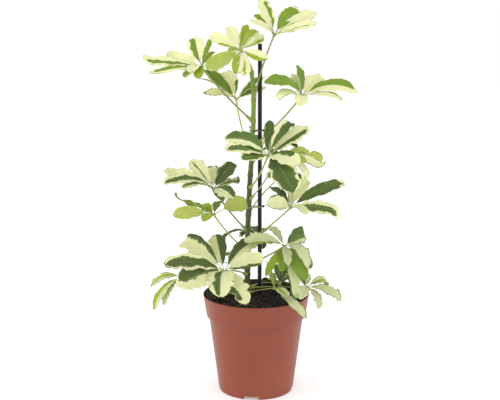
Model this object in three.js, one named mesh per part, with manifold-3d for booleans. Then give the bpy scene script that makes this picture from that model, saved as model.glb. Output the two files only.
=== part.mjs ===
import * as THREE from 'three';
import { mergeVertices } from 'three/addons/utils/BufferGeometryUtils.js';
import Module from 'manifold-3d';

// Potted umbrella plant, in millimetres, +Z up, origin at the middle of the pot's underside.
// The viewer of the front stands on the -Y side.

// Pot: thin moulded plastic, tapered, with a deep rim band
const potHeight = 112;
const rimRadius = 60;
const bandHeight = 24.5;
const bandFootRadius = 56.2;
const waistRadius = 53.2;
const footRadius = 42.2;
const wall = 1.4;
const floorThickness = 1.8;
const footBevel = 1.5;
const stepSlope = 1.5;
const lipBevel = 0.6;
const potSides = 36;

// Drain channels moulded up into the pot's floor, open at the foot
const channelCount = 4;
const firstChannelAngle = -98;
const channelWidth = 17;
const channelHeight = 4;
const channelInnerRadius = 25;
const drainRadius = 3.5;
const drainMargin = 2;

// Soil, nearly level with the rim and heaped at the left
const soilBottom = 6.2;
const soilLevel = 108;
const soilBumps = 1.1;
const heapHeight = 7;
const heapX = -52;
const heapWidth = 15;
const heapDepth = 30;
const bankHeight = 2; // rise of the soil towards the back
const soilSides = 24;
const soilRingShares = [1, 0.86, 0.66, 0.44, 0.2];

// Clearance between pieces that touch
const fitGap = 0.3;

// Stem: centre points [x, height] and radii at the foot and the tip
const stemPath = [
  [-10.4, 66], [-10, 116], [-9.7, 148], [-9.5, 185], [-8.1, 214], [-7, 240],
  [-5.3, 268], [-3.4, 300], [-2.9, 325], [-3, 338], [-3.9, 350], [-5.3, 361], [-7.3, 371],
];
const stemFootRadius = 3.5;
const stemTipRadius = 2.3;
const stemSides = 10;
const nodeSwelling = 0.5;
const ringSpacing = 12;

// Support stake
const stakeX = 4;
const stakeY = 3;
const stakeRadius = 2.3;
const stakeBottom = 2.2;
const stakeTop = 392;
const rodSides = 12;

// Ties round stem and stake
const tieWall = 0.7;
const tieBand = 1.1;
const tieKnot = 1.5;
const tieTurnSteps = 5;
const tieHeights = { tie_lower: 211.5, tie_upper: 297 };

// Leaves
const bladeThickness = 0.7;
const stalkRadius = 0.45;
const stalkGrowth = 0.055; // added for each leaflet that the stalk carries
const sheathRadius = 2.3;
const sheathLength = 15;
const stalkDrop = 4;
const stalkSides = 5;
const stalkRings = 6;
const hubRadius = 2.6;
const petioluleStart = 1.7;
const petioluleShare = 0.14;
const petioluleHalfWidth = 0.5;
const bladeFold = 0.16;
const edgeWave = 0.09;
const waveTurns = 20;
const edgeRipple = 0.06;
const rippleTurns = 13;
const smallLeaflet = 45;
const smallStations = [0, 0.36, 0.76, 1];
const largeStations = [0, 0.26, 0.52, 0.8, 1];

// One entry for each leaf. node: height where its stalk leaves the stem. hub: where its leaflets meet.
// face: the way its upper side looks. bow: how far the middle of the stalk bends off a straight line.
// leaflets: [bearing, rise, length, width, arch, roll]; bearing 0 is +X and 90 is +Y, in degrees.
const leaves = {
  leaf_top_right: {
    node: 334, hub: [19, -14, 402], face: [0.1, -0.6, 0.8], bow: [-2, -1, 0],
    leaflets: [
      [120, 51, 47, 16, 3], [135, 35, 36, 10, 3], [180, 30, 30, 9, 4], [45, 35, 46, 18, 6, 10],
      [20, 25, 54, 16, 4], [-25, 15, 50, 16, 2], [-60, 10, 36, 12, 2],
    ],
  },
  leaf_top_centre: {
    node: 365, hub: [-17, -12, 386], face: [0, -0.9, 0.45], bow: [1, 0, 1],
    leaflets: [
      [150, 20, 41, 14, 4], [125, 45, 34, 13, 3], [100, 45, 26, 8, 2, 50], [72, 50, 34, 9, 3],
      [44, 40, 31, 14, 3], [30, 25, 32, 11, 3], [-30, -14, 34, 12, 1], [-75, -50, 34, 14, 4],
      [-100, -45, 33, 13, 3], [-155, -25, 44, 17, 1], [140, 0, 18, 6, 1],
    ],
  },
  leaf_top_left: {
    node: 311, hub: [-59, -14, 368], face: [-0.25, -0.6, 0.76], bow: [0, -5, -2],
    leaflets: [
      [180, 5, 65, 14, 3], [-155, -5, 58, 12, 3], [140, 10, 50, 18, 3], [105, 40, 46, 18, 4],
      [72, 42, 42, 8, 3, 70], [60, 30, 30, 8, 2], [20, 2, 22, 13, 3], [-110, -6, 32, 14, 4],
      [-130, -19, 29, 12, 4], [-94, -22, 27, 12, 3],
    ],
  },
  leaf_upper_left: {
    node: 270, hub: [-22, 6, 331], face: [-0.1, -0.55, 0.83], bow: [-2, 2, 0],
    leaflets: [
      [155, 40, 48, 15, 4], [110, 40, 44, 18, 4], [40, 15, 42, 14, 2], [-155, 12, 38, 13, 5],
      [180, 30, 46, 10, 5, 45], [40, 30, 46, 10, 3],
    ],
  },
  leaf_upper_right: {
    node: 282, hub: [49, -12, 336], face: [0.1, -0.42, 0.9], bow: [0, -3, -2],
    leaflets: [
      [-150, 20, 50, 17, 10, -15], [130, 35, 34, 9, 3], [105, 35, 38, 12, 3],
      [95, 45, 44, 12, 5, 30], [-135, 5, 40, 13, 5], [55, 25, 44, 20, 4], [0, 5, 60, 20, 11, 12],
      [-35, 0, 50, 11, 5], [-95, -10, 36, 15, 5],
    ],
  },
  leaf_middle_front: {
    node: 237, hub: [12, -44, 276], face: [0, -0.6, 0.8], bow: [0, -2, -4],
    leaflets: [
      [180, 22, 49, 20, 12], [-150, 12, 52, 17, 6], [-130, 2, 42, 18, 3], [85, 47, 47, 12, 2],
      [41, 43, 54, 13, 10], [62, 38, 40, 9, 5], [30, 28, 58, 20, 3], [-45, -5, 46, 22, 5],
      [-60, -31, 60, 28, 8],
    ],
  },
  leaf_middle_right_upper: {
    node: 223, hub: [25, -20, 272], face: [0.4, -0.4, 0.82], bow: [0, -3, -3],
    leaflets: [
      [25, 2, 36, 13, 5, 35], [0, -4, 49, 12, 5, 45], [-25, -15, 56, 12, 9, 30],
      [-40, -25, 46, 11, 7, 20], [-40, -5, 36, 10, 5, 30],
    ],
  },
  leaf_middle_right: {
    node: 177, hub: [37, -26, 216], face: [0.25, -0.5, 0.83], bow: [0, -2, -2],
    leaflets: [
      [0, 25, 65, 15, 7, 12], [-20, -3, 59, 17, 6, 15], [-65, 0, 36, 13, 6],
      [-135, 15, 38, 17, 5, -35], [105, 20, 36, 10, 4, 55], [85, 20, 36, 12, 4],
      [60, 32, 46, 16, 4], [120, 20, 46, 11, 5],
    ],
  },
  leaf_middle_left: {
    node: 188, hub: [-47, -20, 235.5], face: [-0.2, -0.55, 0.81], bow: [0, -2, -2],
    leaflets: [
      [-150, 11, 60, 18, 11], [150, 11, 62, 18, 8], [125, 30, 52, 18, 5], [-135, 10, 46, 13, 6],
      [92, 25, 44, 16, 4], [58, 31, 46, 21, 1], [35, 5, 38, 12, 5], [-55, -5, 40, 17, 5],
      [-70, -10, 36, 10, 4],
    ],
  },
  leaf_middle_left_lower: {
    node: 165, hub: [-46, -32, 209.5], face: [-0.2, -0.45, 0.87], bow: [0, -3, -3],
    leaflets: [
      [-150, 5, 49, 15, 4, -30], [180, 22, 52, 9, 3, 50], [145, 10, 36, 11, 4],
      [115, 10, 32, 10, 3], [-105, 0, 34, 12, 4], [80, 15, 34, 11, 3], [35, 10, 44, 19, 4, 35],
    ],
  },
  leaf_low_front_left: {
    node: 137, hub: [-35, -52, 151], face: [-0.1, -0.65, 0.76], bow: [0, 0, 3],
    leaflets: [
      [150, 27, 68, 23, 13], [-157, 12, 69, 22, 11], [-142, -6, 60, 28, 9, -22],
      [-93, -15, 51, 28, 9], [-60, -24, 55, 22, 9], [0, 18, 47, 18, 7, 20], [45, 27, 56, 20, 9],
      [103, 34, 55, 19, 7],
    ],
  },
  leaf_low_left: {
    node: 126, hub: [-81, -22, 137], face: [-0.4, -0.35, 0.85], bow: [0, 4, 2],
    leaflets: [
      [180, -18, 38, 14, 8], [-130, -30, 52, 13, 8], [-120, -30, 44, 10, 6], [70, 10, 36, 12, 5],
      [40, -10, 30, 12, 4],
    ],
  },
  leaf_low_right: {
    node: 148, hub: [31, -16, 170], face: [0.12, -0.5, 0.85], bow: [0, -2, 0],
    leaflets: [
      [-150, 13, 51, 18, 8], [112, 18, 44, 10, 5], [42, 16, 36, 19, 4, 40],
      [-52, -19, 48, 16, 13], [-60, -34, 50, 18, 9, 12], [-71, -53, 60, 14, 7],
      [-85, -20, 36, 11, 6], [-125, -35, 44, 9, 6], [-98, -38, 34, 12, 5],
    ],
  },
  leaf_rim_right: {
    node: 122, hub: [55, -20, 124], face: [0.4, -0.4, 0.83], bow: [0, -2, 2],
    leaflets: [
      [35, 0, 33, 11, 9], [-30, -11, 45, 18, 7], [-65, -25, 36, 11, 7], [-105, -5, 34, 12, 6],
      [110, 8, 28, 10, 3], [85, 18, 30, 9, 3],
    ],
  },
  leaf_rim_front: {
    node: 116, hub: [20, -30, 126], face: [0.1, -0.6, 0.8], bow: [0, 0, 1],
    leaflets: [
      [95, 20, 30, 8, 2], [105, 35, 40, 8, 3, 50], [-46, -25, 54, 12, 4], [-62, -3, 30, 10, 3],
    ],
  },
  leaf_back_low: {
    node: 165, hub: [2, 32, 168], face: [0, 0.1, 1], bow: [-3, 0, 2],
    leaflets: [
      [-160, 0, 46, 13, 11], [-75, -20, 22, 12, 4], [100, 0, 46, 14, 8], [60, -5, 44, 14, 8],
      [120, -10, 40, 13, 8],
    ],
  },
  leaf_back_rim: {
    node: 120, hub: [27, 14, 118], face: [0.2, 0.1, 0.97], bow: [-2, 7, 3],
    leaflets: [
      [100, 35, 30, 10, 2], [75, 30, 30, 10, 2], [60, 0, 36, 12, 4], [125, -5, 34, 11, 4],
    ],
  },
  leaf_back_upper: {
    node: 251, hub: [6, 38, 268], face: [0, 0.45, 0.9], bow: [-4, 0, -2],
    leaflets: [
      [135, 0, 46, 16, 10], [30, 0, 48, 16, 10], [110, 10, 50, 17, 10], [60, 15, 50, 17, 10],
      [-65, -5, 38, 14, 7], [-115, 0, 38, 14, 7],
    ],
  },
  leaf_back_left: {
    node: 144, hub: [-54, 34, 139], face: [-0.3, 0.4, 0.87], bow: [0, 0, 3],
    leaflets: [
      [135, -15, 46, 17, 9], [115, 0, 48, 18, 9], [85, 5, 46, 17, 9], [35, -5, 44, 15, 8],
      [-95, -20, 38, 15, 7],
    ],
  },
  leaf_back_right: {
    node: 206, hub: [30, 42, 240], face: [0.25, 0.45, 0.86], bow: [-5, 4, -2],
    leaflets: [
      [55, -20, 44, 14, 8], [70, 5, 46, 15, 8], [100, 10, 46, 15, 8], [115, -15, 38, 13, 7],
      [-90, -10, 30, 12, 6],
    ],
  },
};

const colours = {
  terracotta: 0x9a5a47, soil: 0x2b2119, stem: 0x6f8a36, stake: 0x1d2323, tie: 0x8d8f86,
  newLeaf: 0xc3cf5a, creamLeaf: 0xd8dda2, greenLeaf: 0x6d8a45,
};
const newLeaves = ['leaf_top_right', 'leaf_top_centre', 'leaf_middle_right_upper', 'leaf_middle_left_lower'];

const wasm = await Module();
wasm.setup();

const up = new THREE.Vector3(0, 0, 1);
const radians = THREE.MathUtils.degToRad;

function makeGeometry(points, triangles) {
  const geometry = new THREE.BufferGeometry();
  const coordinates = points.flatMap((point) => [point.x, point.y, point.z]);
  geometry.setAttribute('position', new THREE.Float32BufferAttribute(coordinates, 3));
  geometry.setIndex(triangles);
  return geometry;
}

function toSolid(geometry) {
  geometry.deleteAttribute('normal');
  geometry.deleteAttribute('uv');
  const welded = mergeVertices(geometry, 1e-4);
  return new wasm.Manifold(new wasm.Mesh({
    numProp: 3,
    vertProperties: new Float32Array(welded.attributes.position.array),
    triVerts: new Uint32Array(welded.index.array),
  }));
}

// Fills a hollow that blades seal between them, and drops scraps
function largestBody(solid) {
  return solid.decompose().reduce((most, body) => (body.volume() > most.volume() ? body : most));
}

function toGeometry(solid) {
  const mesh = solid.getMesh();
  const geometry = new THREE.BufferGeometry();
  geometry.setAttribute('position', new THREE.Float32BufferAttribute(mesh.vertProperties, 3));
  geometry.setIndex(Array.from(mesh.triVerts));
  return geometry;
}

// A closed skin over rings of equal count, with a fan at each end
function skin(rings) {
  const count = rings[0].length;
  const triangles = [];
  for (let ring = 0; ring + 1 < rings.length; ring += 1) {
    for (let side = 0; side < count; side += 1) {
      const next = (side + 1) % count;
      const a = ring * count + side;
      const b = ring * count + next;
      triangles.push(a, b, b + count, a, b + count, a + count);
    }
  }
  const last = (rings.length - 1) * count;
  for (let side = 1; side + 1 < count; side += 1) {
    triangles.push(0, side + 1, side);
    triangles.push(last, last + side, last + side + 1);
  }
  return makeGeometry(rings.flat(), triangles);
}

function revolve(profile) {
  const outline = profile.map(([radius, height]) => new THREE.Vector2(radius, height));
  return new THREE.LatheGeometry(outline, potSides).rotateX(Math.PI / 2);
}

// An upright round rod on the Z axis
function makeRod(radius, bottom, top) {
  const rod = new THREE.CylinderGeometry(radius, radius, top - bottom, rodSides);
  return rod.rotateX(Math.PI / 2).translate(0, 0, (bottom + top) / 2);
}

// A repeatable draw between 0 and 1
function spread(index) {
  const value = Math.sin(index * 12.9898) * 43758.5453;
  return value - Math.floor(value);
}

// Stem

function stemCentre(height) {
  let span = 0;
  while (span + 2 < stemPath.length && stemPath[span + 1][1] < height) {
    span += 1;
  }
  const [lowX, lowZ] = stemPath[span];
  const [highX, highZ] = stemPath[span + 1];
  return lowX + ((highX - lowX) * (height - lowZ)) / (highZ - lowZ);
}

function stemRadius(height) {
  const share = (height - stemPath[0][1]) / (stemPath.at(-1)[1] - stemPath[0][1]);
  return THREE.MathUtils.lerp(stemFootRadius, stemTipRadius, share);
}

function makeStem(extra) {
  const nodes = Object.values(leaves).map((leaf) => leaf.node - 3);
  const bottom = stemPath[0][1];
  const top = stemPath.at(-1)[1];
  const plain = [];
  for (let height = bottom; height < top; height += ringSpacing) {
    if (nodes.every((node) => Math.abs(node - height) > ringSpacing / 3)) {
      plain.push(height);
    }
  }
  const heights = [...new Set([...plain, ...nodes, top])].sort((low, high) => low - high);
  const spaced = heights.filter((height, index) => index === 0 || height - heights[index - 1] > 1.5);
  const rings = spaced.map((height) => {
    const radius = stemRadius(height) + extra + (nodes.includes(height) ? nodeSwelling : 0);
    const lift = height === bottom ? -extra : 0;
    const reach = height === top ? extra : 0;
    return Array.from({ length: stemSides }, (_, side) => {
      const angle = (2 * Math.PI * side) / stemSides;
      const x = stemCentre(height) + radius * Math.cos(angle);
      return new THREE.Vector3(x, radius * Math.sin(angle), height + lift + reach);
    });
  });
  return toSolid(skin(rings));
}

// Pot and soil

function makePot() {
  const bandFoot = potHeight - bandHeight;
  const aboveRim = potHeight + wall;
  const outer = [
    [0, 0], [footRadius - footBevel, 0], [footRadius, footBevel], [waistRadius, bandFoot - stepSlope],
    [bandFootRadius, bandFoot], [rimRadius, potHeight - lipBevel],
    [rimRadius - lipBevel, potHeight], [0, potHeight],
  ];
  const inner = [
    [0, floorThickness], [footRadius - wall, floorThickness],
    [waistRadius - wall, bandFoot + wall - stepSlope], [bandFootRadius - wall, bandFoot + wall],
    [rimRadius - wall, potHeight - lipBevel], [rimRadius - wall, aboveRim], [0, aboveRim],
  ];
  let cavity = toSolid(revolve(inner));
  let cuts = [];
  for (let index = 0; index < channelCount; index += 1) {
    const angle = radians(firstChannelAngle + (360 / channelCount) * index);
    const reach = rimRadius - channelInnerRadius;
    const channel = new THREE.BoxGeometry(reach, channelWidth, 2 * channelHeight);
    channel.translate(channelInnerRadius + reach / 2, 0, 0).rotateZ(angle);
    const roof = new THREE.BoxGeometry(reach, channelWidth + 2 * wall, 2 * (channelHeight + wall));
    roof.translate(channelInnerRadius - wall + reach / 2, 0, 0).rotateZ(angle);
    const drain = makeRod(drainRadius, -potHeight, potHeight / 2);
    drain.translate(channelInnerRadius + drainRadius + drainMargin, 0, 0).rotateZ(angle);
    cavity = cavity.subtract(toSolid(roof));
    cuts = [...cuts, toSolid(channel), toSolid(drain)];
  }
  return cuts.reduce((pot, cut) => pot.subtract(cut), toSolid(revolve(outer)).subtract(cavity));
}

function soilHeight(x, y) {
  const heap = heapHeight * Math.exp(-(((x - heapX) / heapWidth) ** 2) - (y / heapDepth) ** 2);
  const bumps = Math.sin(x / 6.1 + 1) * Math.cos(y / 7.3) + Math.sin((x + y) / 4.7);
  const bank = bankHeight * THREE.MathUtils.smoothstep(y, 5, 50);
  return soilLevel + heap + bank + soilBumps * bumps;
}

function soilRing(radius, heightAt) {
  return Array.from({ length: soilSides }, (_, side) => {
    const angle = (2 * Math.PI * side) / soilSides;
    const x = radius * Math.cos(angle);
    const y = radius * Math.sin(angle);
    return new THREE.Vector3(x, y, heightAt(x, y));
  });
}

function makeSoil() {
  const bandFoot = potHeight - bandHeight;
  const inset = wall + 2 * fitGap;
  const topRadius = rimRadius - inset - 1;
  const walls = [
    [footRadius - inset, soilBottom], [waistRadius - inset, bandFoot],
    [bandFootRadius - inset, bandFoot + 2 * stepSlope], [topRadius - 1, soilLevel - 6],
  ];
  const rings = walls.map(([radius, height]) => soilRing(radius, () => height));
  const surface = soilRingShares.map((share) => soilRing(share * topRadius, soilHeight));
  const stakeHole = makeRod(stakeRadius + fitGap, -potHeight, 2 * potHeight);
  stakeHole.translate(stakeX, stakeY, 0);
  return toSolid(skin([...rings, ...surface]))
    .subtract(toSolid(stakeHole))
    .subtract(makeStem(fitGap));
}

// Stake and ties

function makeStake() {
  return toSolid(makeRod(stakeRadius, stakeBottom, stakeTop).translate(stakeX, stakeY, 0));
}

// The outline of a band drawn tight round two circles, widened by a clearance
function loopOutline(stemX, stemR, clearance) {
  const near = stemR + clearance;
  const far = stakeRadius + clearance;
  const heading = Math.atan2(stakeY, stakeX - stemX);
  const spanLength = Math.hypot(stakeX - stemX, stakeY);
  const lean = Math.acos((near - far) / spanLength);
  const outline = [];
  for (let step = 0; step <= tieTurnSteps; step += 1) {
    const angle = heading + THREE.MathUtils.lerp(lean, 2 * Math.PI - lean, step / tieTurnSteps);
    outline.push(new THREE.Vector2(stemX + near * Math.cos(angle), near * Math.sin(angle)));
  }
  for (let step = 0; step <= tieTurnSteps; step += 1) {
    const angle = heading + THREE.MathUtils.lerp(-lean, lean, step / tieTurnSteps);
    outline.push(new THREE.Vector2(stakeX + far * Math.cos(angle), stakeY + far * Math.sin(angle)));
  }
  return outline;
}

function makeTie(height) {
  const stemX = stemCentre(height);
  const stemR = stemRadius(height) + nodeSwelling;
  const band = new THREE.Shape(loopOutline(stemX, stemR, fitGap + tieWall));
  band.holes.push(new THREE.Path(loopOutline(stemX, stemR, fitGap)));
  const loop = new THREE.ExtrudeGeometry(band, { depth: tieBand, bevelEnabled: false });
  loop.translate(0, 0, height - tieBand / 2);
  const knot = new THREE.IcosahedronGeometry(tieKnot, 0);
  knot.translate(stakeX + stakeRadius + fitGap + tieKnot, stakeY, height + tieBand / 3);
  return toSolid(loop).add(toSolid(knot));
}

// Leaves

function makeStalk(leaf) {
  const footHeight = leaf.node - stalkDrop;
  const foot = new THREE.Vector3(stemCentre(footHeight), 0, footHeight);
  const hub = new THREE.Vector3(...leaf.hub);
  const middle = foot.clone().lerp(hub, 0.5).add(new THREE.Vector3(...leaf.bow).multiplyScalar(2));
  const path = new THREE.QuadraticBezierCurve3(foot, middle, hub);
  const across = new THREE.Vector3().crossVectors(hub.clone().sub(foot), up).normalize();
  const length = path.getLength();
  const slim = stalkRadius + stalkGrowth * leaf.leaflets.length;
  const rings = [];
  for (let ring = 0; ring < stalkRings; ring += 1) {
    const share = (ring / (stalkRings - 1)) ** 1.5;
    const taper = THREE.MathUtils.smoothstep(share * length, 2, sheathLength);
    const radius = THREE.MathUtils.lerp(sheathRadius, slim, taper);
    const centre = path.getPoint(share);
    const tangent = path.getTangent(share);
    const side = new THREE.Vector3().crossVectors(tangent, across).normalize();
    rings.push(Array.from({ length: stalkSides }, (_, index) => {
      const angle = (2 * Math.PI * index) / stalkSides;
      return centre.clone()
        .addScaledVector(across, radius * Math.cos(angle))
        .addScaledVector(side, radius * Math.sin(angle));
    }));
  }
  return toSolid(skin(rings));
}

// Half-width against its widest: narrow at the blade's foot, widest past the middle, blunt at the tip
function bladeWidth(share) {
  const blunt = 0.002;
  const widest = 0.432;
  return (share ** 0.75 * (1 - share + blunt) ** 0.5) / widest;
}

function makeLeaflet(hub, face, [bearing, rise, length, width, arch, roll = 0], index) {
  const flat = Math.cos(radians(rise));
  const along = new THREE.Vector3(
    flat * Math.cos(radians(bearing)), flat * Math.sin(radians(bearing)), Math.sin(radians(rise)),
  );
  const lift = face.clone().addScaledVector(along, -face.dot(along)).normalize();
  const level = new THREE.Vector3().crossVectors(along, lift);
  const shares = length < smallLeaflet ? smallStations : largeStations;
  const start = petioluleStart / Math.hypot(length, 4 * arch);
  const stations = [start, ...shares.map((share) => petioluleShare + (1 - petioluleShare) * share)];
  const rings = stations.map((station) => {
    const share = Math.max(0, (station - petioluleShare) / (1 - petioluleShare));
    const slope = (4 * arch * (1 - 2 * station)) / length;
    const forward = along.clone().addScaledVector(lift, slope).normalize();
    const upright = new THREE.Vector3().crossVectors(level, forward);
    const side = level.clone().applyAxisAngle(forward, radians(roll));
    const normal = upright.clone().applyAxisAngle(forward, radians(roll));
    const centre = hub.clone()
      .addScaledVector(along, length * station)
      .addScaledVector(lift, 4 * arch * station * (1 - station));
    const half = Math.max(petioluleHalfWidth, (width / 2) * bladeWidth(share));
    const edge = (sign) => {
      const phase = 2 * Math.PI * spread(index * 2 + sign);
      const wave = share > 0 ? 1 + edgeWave * Math.sin(waveTurns * share + phase) : 1;
      const ripple = edgeRipple * width * share * Math.sin(rippleTurns * share + phase);
      return centre.clone()
        .addScaledVector(side, sign * half * wave)
        .addScaledVector(normal, bladeFold * half + ripple);
    };
    const row = [edge(-1), centre, edge(1)];
    const thick = share > 0 ? bladeThickness / 2 : petioluleHalfWidth;
    const top = row.map((point) => point.clone().addScaledVector(normal, thick));
    const bottom = row.map((point) => point.clone().addScaledVector(normal, -thick));
    return [top, bottom];
  });
  return toSolid(bladeSkin(rings));
}

// Both faces of a blade are split along the same diagonals, so a waved blade never crosses itself
function bladeSkin(rings) {
  const points = rings.flatMap(([top, bottom]) => [...top, ...bottom]);
  const triangles = [];
  const quad = (a, b, c, d) => triangles.push(a, b, c, a, c, d);
  for (let ring = 0; ring + 1 < rings.length; ring += 1) {
    const here = ring * 6;
    const next = here + 6;
    for (const side of [0, 1]) {
      quad(here + side, here + side + 1, next + side + 1, next + side);
      triangles.push(here + 3 + side, next + 4 + side, here + 4 + side);
      triangles.push(here + 3 + side, next + 3 + side, next + 4 + side);
    }
    quad(here + 3, here, next, next + 3);
    quad(here + 2, here + 5, next + 5, next + 2);
  }
  const last = (rings.length - 1) * 6;
  for (const side of [0, 1]) {
    quad(side, side + 3, side + 4, side + 1);
    quad(last + side, last + side + 1, last + side + 4, last + side + 3);
  }
  return makeGeometry(points, triangles);
}

function makeLeaf(leaf, leafIndex, stemClearance) {
  const hub = new THREE.Vector3(...leaf.hub);
  const face = new THREE.Vector3(...leaf.face).normalize();
  const knob = new THREE.IcosahedronGeometry(hubRadius, 0).translate(...leaf.hub);
  const blades = leaf.leaflets.map((leaflet, index) => (
    makeLeaflet(hub, face, leaflet, leafIndex * 16 + index + 1)
  ));
  const body = blades.reduce((sum, blade) => sum.add(blade), makeStalk(leaf).add(toSolid(knob)));
  return largestBody(body.subtract(stemClearance));
}

// Assembly

const plant = new THREE.Group();

function addPiece(name, solid, color, roughness) {
  const material = new THREE.MeshStandardMaterial({ color, roughness, metalness: 0 });
  const mesh = new THREE.Mesh(toGeometry(solid), material);
  mesh.name = name;
  plant.add(mesh);
}

const stemClearance = makeStem(fitGap);
addPiece('pot', makePot(), colours.terracotta, 0.45);
addPiece('soil', makeSoil(), colours.soil, 0.95);
addPiece('stem', makeStem(0), colours.stem, 0.55);
addPiece('stake', makeStake(), colours.stake, 0.5);
for (const [name, height] of Object.entries(tieHeights)) {
  addPiece(name, makeTie(height), colours.tie, 0.6);
}
Object.entries(leaves).forEach(([name, leaf], index) => {
  const kept = name.includes('back') ? colours.greenLeaf : colours.creamLeaf;
  const color = newLeaves.includes(name) ? colours.newLeaf : kept;
  addPiece(name, makeLeaf(leaf, index, stemClearance), color, 0.5);
});

export default plant;
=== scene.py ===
import math
import bpy
import numpy as np
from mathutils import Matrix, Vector, noise


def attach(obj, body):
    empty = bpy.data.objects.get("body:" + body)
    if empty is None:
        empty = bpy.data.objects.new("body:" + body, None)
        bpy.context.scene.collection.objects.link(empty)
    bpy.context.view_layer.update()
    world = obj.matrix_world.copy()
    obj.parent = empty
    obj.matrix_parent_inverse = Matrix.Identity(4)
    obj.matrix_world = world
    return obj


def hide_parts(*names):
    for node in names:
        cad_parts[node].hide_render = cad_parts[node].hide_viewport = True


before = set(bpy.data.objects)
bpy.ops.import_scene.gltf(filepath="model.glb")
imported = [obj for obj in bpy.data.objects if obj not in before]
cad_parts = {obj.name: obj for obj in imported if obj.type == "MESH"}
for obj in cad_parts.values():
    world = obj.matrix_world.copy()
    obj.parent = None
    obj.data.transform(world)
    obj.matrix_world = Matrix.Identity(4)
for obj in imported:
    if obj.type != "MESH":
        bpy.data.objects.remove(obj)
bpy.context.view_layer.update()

# Potted umbrella plant: lengths in millimetres, turned to metres when a mesh is written
mm = 0.001


# Shader kit

class Wire:  # a shader socket that takes part in Python sums
    def __init__(self, shader, socket):
        self.shader = shader
        self.socket = socket

    def __add__(self, other):
        return self.shader.sum("ADD", self, other)

    __radd__ = __add__

    def __sub__(self, other):
        return self.shader.sum("SUBTRACT", self, other)

    def __rsub__(self, other):
        return self.shader.sum("SUBTRACT", other, self)

    def __mul__(self, other):
        return self.shader.sum("MULTIPLY", self, other)

    __rmul__ = __mul__

    def __truediv__(self, other):
        return self.shader.sum("DIVIDE", self, other)

    def __abs__(self):
        return self.shader.sum("ABSOLUTE", self)


class Shader:  # one material and the ways to add nodes to it
    def __init__(self, name):
        self.material = bpy.data.materials.new(name)
        self.material.use_nodes = True
        self.tree = self.material.node_tree
        self.tree.nodes.clear()

    def node(self, kind, settings=None, inputs=None, output=0):
        made = self.tree.nodes.new("ShaderNode" + kind)
        for name, value in (settings or {}).items():
            setattr(made, name, value)
        for name, value in (inputs or {}).items():
            if isinstance(value, Wire):
                self.tree.links.new(value.socket, made.inputs[name])
            else:
                made.inputs[name].default_value = value
        return Wire(self, made.outputs[output])

    def ramp(self, value, stops):  # each stop is a place from 0 to 1 and a screen colour
        made = self.node("ValToRGB", None, {"Fac": value})
        elements = made.socket.node.color_ramp.elements
        while len(elements) < len(stops):
            elements.new(1)
        for element, (place, colour) in zip(elements, stops):
            element.position = place
            element.color = linear(colour)
        return made

    def sum(self, operation, *values):
        return self.node("Math", {"operation": operation}, dict(enumerate(values)))

    def mix(self, first, second, share):  # of wires or screen colours, by the node's colour sockets
        return self.node("Mix", {"data_type": "RGBA"}, {0: share, 6: linear(first), 7: linear(second)}, 2)

    def fade(self, value, low, high):  # 0 below low, 1 above high, soft between
        return self.node("MapRange", {"interpolation_type": "SMOOTHSTEP"},
                         {"Value": value, "From Min": low, "From Max": high})

    def grain(self, place, scale, detail=3, rough=0.55):
        return self.node("TexNoise", None, {
            "Vector": place, "Scale": scale, "Detail": detail, "Roughness": rough})

    def join(self, x, y, z):
        return self.node("CombineXYZ", None, {0: x, 1: y, 2: z})

    def split(self, vector):
        made = self.tree.nodes.new("ShaderNodeSeparateXYZ")
        self.tree.links.new(vector.socket, made.inputs[0])
        return [Wire(self, out) for out in made.outputs]

    def place(self):  # Object coordinates, in metres
        return self.node("TexCoord", output="Object")

    def attribute(self, name, output="Vector"):
        return self.node("Attribute", {"attribute_name": name}, output=output)

    def finish(self, colour, roughness, bump=None, depth=0, strength=0, **fixed):
        inputs = {"Base Color": colour, "Roughness": roughness, **fixed}
        if bump is not None:
            inputs["Normal"] = self.node("Bump", None, {
                "Height": bump, "Distance": depth, "Strength": strength})
        surface = self.node("BsdfPrincipled", None, inputs)
        out = self.tree.nodes.new("ShaderNodeOutputMaterial")
        self.tree.links.new(surface.socket, out.inputs["Surface"])
        return self.material


def linear(colour):  # a screen colour becomes linear, with alpha; a wire stays as it is
    if isinstance(colour, Wire):
        return colour
    shares = [value / 255 for value in colour]
    return (*(share / 12.92 if share <= 0.04045 else ((share + 0.055) / 1.055) ** 2.4 for share in shares), 1)


# Mesh kit

def addMesh(operator, **settings):
    bpy.ops.object.select_all(action="DESELECT")
    operator(**settings)
    return bpy.context.object


def pick(obj):
    bpy.ops.object.select_all(action="DESELECT")
    obj.select_set(True)
    bpy.context.view_layer.objects.active = obj


def applyModifiers(obj):
    pick(obj)
    for modifier in list(obj.modifiers):
        bpy.ops.object.modifier_apply(modifier=modifier.name)


def addModifier(obj, name, kind, **settings):
    modifier = obj.modifiers.new(name, kind)
    for key, value in settings.items():
        setattr(modifier, key, value)


def copyOf(template, name):
    made = bpy.data.objects.new(name, template.data.copy())
    bpy.context.collection.objects.link(made)
    return made


def joinAll(objects, name):
    pick(objects[0])
    for obj in objects:
        obj.select_set(True)
    bpy.ops.object.join()
    joined = bpy.context.object
    joined.name = name
    joined.data.name = name
    return joined


def points(obj):
    flat = np.empty(len(obj.data.vertices) * 3)
    obj.data.vertices.foreach_get("co", flat)
    return flat.reshape(-1, 3)


def movePoints(obj, places):  # places in millimetres
    obj.data.vertices.foreach_set("co", (np.asarray(places) * mm).ravel())
    obj.data.update()


def storeValues(obj, name, values):  # one number or one vector for each vertex
    values = np.asarray(values, dtype=float)
    kind = "FLOAT" if values.ndim == 1 else "FLOAT_VECTOR"
    layer = obj.data.attributes.new(name, kind, "POINT")
    layer.data.foreach_set("value" if values.ndim == 1 else "vector", values.ravel())


def storeSame(obj, name, value):  # one number or one vector for the whole piece
    storeValues(obj, name, np.broadcast_to(value, (len(obj.data.vertices), *np.shape(value))))


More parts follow.
